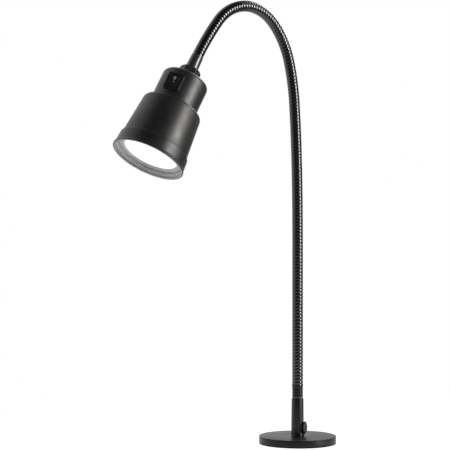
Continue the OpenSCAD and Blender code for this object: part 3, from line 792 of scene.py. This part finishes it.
def make_rim_band():
    """Band that widens to a rolled lip, with a shallow seat in its flat face for the liner's flange."""
    low, top, lip_r = extent("rim_band", HEAD)
    top += ROLL
    wall_r, inside_r, mouth_r, face_r = 51.0, 50.0, 48.0, 51.6
    seat_r, seat = extent("shade", HEAD)[2] + 0.02, top - 0.45
    lathe("rim_band_shell", [
        (seat_r, low, 0.15), (wall_r - 0.6, low, 0.6), (wall_r - 0.25, low + 1.4, 0.8),
        (wall_r + 0.8, top - 4, 8), (lip_r, top - 1.6, 1.2), (lip_r, top, 0.9), (face_r, top, 0.3),
        (face_r, seat), (mouth_r, seat), (mouth_r, top - 1.22), (inside_r, top - 1.22),
        (inside_r, low + 1.52), (seat_r, low + 1.52),
    ], HEAD, "head", "head_lip", ["rim_band"], segments=192, steps=6)


def make_inner_ring():
    """Liner sleeve turned in shallow steps inside, with a flange over the band's flat face."""
    low, _, r = extent("inner_ring", HEAD)
    face, flange_r, inner = extent("rim_band", HEAD)[1] + ROLL - 0.1, 51.58, r - 0.9
    lathe("inner_ring_spun", [
        (r, low, 0.2), (r, face - 0.3), (flange_r, face - 0.3), (flange_r, face, 0.1), (inner, face, 0.7),
        (inner, face - 3.4, 0.1), (inner + 0.25, face - 3.8, 0.1), (inner + 0.25, face - 5.8, 0.1),
        (inner, face - 6.2, 0.1), (inner, low, 0.2),
    ], HEAD, "head", "liner_grey", ["inner_ring"], segments=192, steps=4)


def make_switch():
    """Bezel with a rounded face, whose back is cut to the curve of the cap."""
    outer, slack = half_sizes("switch_bezel", SWITCH), 0.05
    inner = [size + slack for size in half_sizes("switch_body", SWITCH)]
    back, face, _ = extent("switch_bezel", SWITCH)

    # Each layer: the sizes that it follows, how much larger it is, its corner radius and its height
    layers = [(outer, 0, 3.2, back), (outer, 0, 3.2, face - 1.0), (outer, -0.3, 2.9, face - 0.35),
              (outer, -1.0, 2.3, face), (inner, 0.6, 1.6, face), (inner, 0.15, 1.2, face - 0.3),
              (inner, 0, 1.1, face - 1.2), (inner, 0, 1.1, back)]
    bm = bmesh.new()
    rings = []
    for (h, w), extra, corner, z in layers:
        h, w = h + extra, w + extra
        outline = rounded([(h, w, corner), (-h, w, corner), (-h, -w, corner), (h, -w, corner)], 6)
        rings.append([bm.verts.new((p.x, p.y, z)) for p in outline])
    for near, far in zip(rings, rings[1:] + rings[:1]):
        bridge(bm, near, far)
    bezel = new_piece("switch_bezel_frame", bm, SWITCH, "head", "bezel", ["switch_bezel"])
    low, top, r = extent("head_cap", HEAD)
    r += 0.02
    cut(bezel, lathe_mesh([(0, low), (r, low), (r, top), (0, top)], 192), HEAD)


def rocker_mesh(half_h, half_w, face_z, rest):
    """Two dished faces that meet in a low ridge, over a skirt that is deepest at the hinge."""
    dish, skirt_inset, skirt_depth, skirt_belly = 0.25, 0.985, 3.4, 4.2
    n_long, n_wide = 24, 12
    rise = half_h * math.tan(rest)
    bm = bmesh.new()
    top = []
    for i in range(n_long + 1):
        x = -half_h + 2 * half_h * i / n_long
        share = abs(x) / half_h
        row = []
        for j in range(n_wide + 1):
            y = -half_w + 2 * half_w * j / n_wide
            sunk = dish * (1 - (y / half_w) ** 2) * math.sin(math.pi * share)
            row.append(bm.verts.new((x, y, face_z + rise * share - sunk)))
        top.append(row)
    for near, far in zip(top, top[1:]):
        bridge(bm, near, far, closed=False)
    rim = top[0] + [row[-1] for row in top[1:]] + top[-1][-2::-1] + [row[0] for row in top[-2:0:-1]]
    skirt = []
    for v in rim:
        drop = skirt_depth + skirt_belly * (1 - (abs(v.co.x) / half_h) ** 2)
        skirt.append(bm.verts.new((v.co.x * skirt_inset, v.co.y * skirt_inset, v.co.z - drop)))
    bridge(bm, rim, skirt)
    bm.faces.new(skirt)
    bmesh.ops.recalc_face_normals(bm, faces=bm.faces)
    sharp = [e for e in bm.edges if len(e.link_faces) == 2 and e.calc_face_angle() > 1.0
             and max(v.co.z for v in e.verts) > face_z - 1]
    bmesh.ops.bevel(bm, geom=sharp, offset=0.45, segments=3, profile=0.5, affect="EDGES")
    return bm


def make_rocker():
    """Tilted rocker, with a ring mark on one half and, on its ridge, a small white dot that is a painted
    highlight.
    """
    half_w, half_h, rest = 8.1, 9.2, math.radians(8)
    face_z = extent("switch_bezel", SWITCH)[1] - 0.4
    hinge_z = (SWITCH.inverted() @ Vector(JOINTS["rocker_switch"]["pos_m"])).z
    lean = Matrix.Rotation(rest, 4, "Y")
    tilted = SWITCH @ Matrix.Translation((0, 0, hinge_z)) @ lean @ Matrix.Translation((0, 0, -hinge_z))
    new_piece("switch_rocker_cap", rocker_mesh(half_h, half_w, face_z, rest), tilted, "rocker",
              "switch_black", ["switch_rocker"], angle=40)

    mark_x, mark_r, half_line = -4.9, 1.6, 0.5
    mark_z = face_z + half_h * math.tan(rest) * 0.53 - 0.2
    inner, outer = mark_r - half_line, mark_r + half_line
    lathe("switch_ring_mark", [(inner, -0.3), (outer, -0.3), (outer, 0.06, 0.04), (inner, 0.06, 0.04)],
          tilted @ Matrix.Translation((mark_x, 0, mark_z)) @ lean, "rocker",
          "print", segments=40, steps=2)
    # Painted highlight: a white dot where the rocker's ridge catches the light.
    lathe("switch_ridge_painted_highlight", [(0, -0.4), (0.8, -0.4), (0.8, 0.2, 0.15), (0, 0.2)],
          tilted @ Matrix.Translation((0.6, 0, face_z)), "rocker",
          "print", segments=24, steps=2)


# ---------------------------------------------------------------- lamp

def thread_outline(r_out, depth, low, high, pitch=3.6, steps=6):
    """Rounded screw rings along Z, one for each turn of the thread."""
    turns = int((high - low) / pitch)
    return [(r_out - depth * (0.5 - 0.5 * math.cos(TAU * i / steps)), low + i * pitch / steps)
            for i in range(turns * steps + 1)]


def make_reflector():
    """Reflector glass, open at both ends: neck, bell and a short straight rim."""
    low, top, r = extent("bulb_glass", HEAD)
    wall, rim = 0.9, top - 10
    bell = [(13.2, low), (16.5, low + 6, 4), (23, low + 17, 20), (34, low + 32, 30), (43, low + 46, 30)]
    inside = [(x - wall * 1.2, *rest) for x, *rest in reversed(bell)]
    lathe("lamp_reflector", [
        *bell, (r, rim, 12), (r, top), (r - wall, top), (r - wall, rim, 12), *inside,
    ], HEAD, "bulb", "lamp_glass", ["bulb_glass"], steps=6)


def make_lens():
    """Lit face, set back inside a stepped grey glass rim."""
    low, top, r = extent("bulb_lens", HEAD)
    face_r, rim_top = 39.2, low + 2.4
    lathe("lamp_lens_face", [
        (0, top - 1.8), (37, low - 0.6, 2), (face_r, low - 0.6), (face_r, low + 0.35, 0.3),
        (38, low + 0.4, 2), (20, top - 0.9, 30), (0, top - 0.3),
    ], HEAD, "bulb", "lamp_face", ["bulb_lens"])
    lathe("lamp_lens_rim", [
        (face_r + 0.02, low), (r, low), (r, rim_top - 0.6, 0.8), (r - 1.4, rim_top, 0.5),
        (45.2, rim_top - 0.1, 0.4), (44.7, rim_top - 0.35, 0.3), (43.7, rim_top - 0.35, 0.3),
        (43.2, rim_top - 0.1, 0.3), (41.2, rim_top - 0.1, 0.8), (39.8, low + 0.8, 0.4),
        (face_r + 0.02, low + 0.5),
    ], HEAD, "bulb", "lamp_rim", steps=4)


def make_lamp_base():
    """Screw base with rounded threads."""
    low, top, r = extent("bulb_base", HEAD)
    lathe("lamp_screw_base", [
        (r - 1.2, low), (r - 0.5, low, 0.3), *thread_outline(r, 0.75, low + 1.0, top - 2.5),
        (r - 0.1, top - 1), (r - 0.1, top), (r - 1.2, top),
    ], HEAD, "bulb", "plain_aluminium", ["bulb_base"], segments=96, steps=2)


# ---------------------------------------------------------------- stage, light, camera

def make_stage():
    """Round pale floor, small enough to leave the lower stem's reflections dark."""
    bm = bmesh.new()
    bmesh.ops.create_circle(bm, cap_ends=True, segments=96, radius=FLOOR_RADIUS)
    mesh = bpy.data.meshes.new("floor")
    bm.to_mesh(mesh)
    bm.free()
    floor = add_object("floor", mesh)
    look = Look("pale_floor", Emission_Strength=FLOOR_GLOW, Emission_Color=(1, 1, 1, 1),
                Specular_IOR_Level=0.1)
    cloud = look.noise(400, 2)
    colour = look.mix(cloud, (0.16, 0.16, 0.16), (0.2, 0.2, 0.2))
    mesh.materials.append(look.done(colour, look.span(cloud, 0, 1, 0.6, 0.7)))


def make_world():
    """White all round for the eye; for reflections, white behind the lamp and dark in front of it."""
    world = bpy.data.worlds.new("studio")
    bpy.context.scene.world = world
    world.use_nodes = True
    tree = world.node_tree
    new, link = tree.nodes.new, tree.links.new

    facing = new("ShaderNodeVectorMath")
    facing.operation = "DOT_PRODUCT"
    facing.inputs[1].default_value = (VIEW_DIRECTION - VIEW_DIRECTION.cross(UP) * 1.25).normalized()
    link(new("ShaderNodeTexCoord").outputs["Generated"], facing.inputs[0])
    remap = new("ShaderNodeMapRange")
    remap.inputs["From Min"].default_value = -1
    link(facing.outputs["Value"], remap.inputs["Value"])

    ramp = new("ShaderNodeValToRGB")
    link(remap.outputs["Result"], ramp.inputs["Fac"])
    stops = ramp.color_ramp.elements
    while len(stops) < len(REFLECTION_STOPS):
        stops.new(0.5)
    for stop, (at, tone) in zip(stops, REFLECTION_STOPS):
        stop.position, stop.color = at, (tone, tone, tone, 1)

    mix = new("ShaderNodeMix")
    mix.data_type = "RGBA"
    link(new("ShaderNodeLightPath").outputs["Is Camera Ray"], mix.inputs[0])
    link(ramp.outputs["Color"], mix.inputs[6])
    mix.inputs[7].default_value = (1, 1, 1, 1)
    link(mix.outputs[2], tree.nodes["Background"].inputs["Color"])


def area_light(name, angle, distance, height, size, energy, colour=(1, 1, 1)):
    """Softbox aimed at the lamp, at an angle to the right of the camera as seen from above."""
    light = bpy.data.lights.new(name, "AREA")
    light.shape, light.size, light.size_y = "RECTANGLE", *size
    light.energy, light.color = energy, colour
    turn, right = math.radians(angle), VIEW_DIRECTION.cross(UP)
    level = (right * math.sin(turn) - VIEW_DIRECTION * math.cos(turn)) * distance
    where = LIGHTS_AIM + level + UP * height
    lamp = add_object(name, light)
    lamp.location = where
    lamp.rotation_euler = (LIGHTS_AIM - where).to_track_quat("-Z", "Y").to_euler()
    lamp.visible_camera = False


def make_lights():
    """Key softbox to the right of the camera, and one high behind the lamp on the same side."""
    area_light("key", 70, 1.9, 0.42, (0.66, 1.35), 48, (1.0, 0.985, 0.96))
    area_light("back", 142, 1.8, 1.3, (1.0, 0.8), 18)


def make_camera():
    camera = bpy.data.cameras.new("camera")
    camera.lens, camera.sensor_width = LENS, SENSOR
    eye = add_object("camera", camera)
    eye.location = EYE
    eye.rotation_euler = VIEW_DIRECTION.to_track_quat("-Z", "Y").to_euler()
    bpy.context.scene.camera = eye


make_camera()
make_world()
make_lights()
make_stage()
dress_cad_nodes()
make_base()
make_post()
make_thumbscrew()
make_lower_ferrule()
make_gooseneck()
make_upper_ferrule()
make_lock_nut()
make_seal_washer()
make_cap()
make_shade()
make_rim_band()
make_inner_ring()
make_switch()
make_rocker()
make_reflector()
make_lens()
make_lamp_base()

bpy.context.scene.view_settings.view_transform = "Standard"
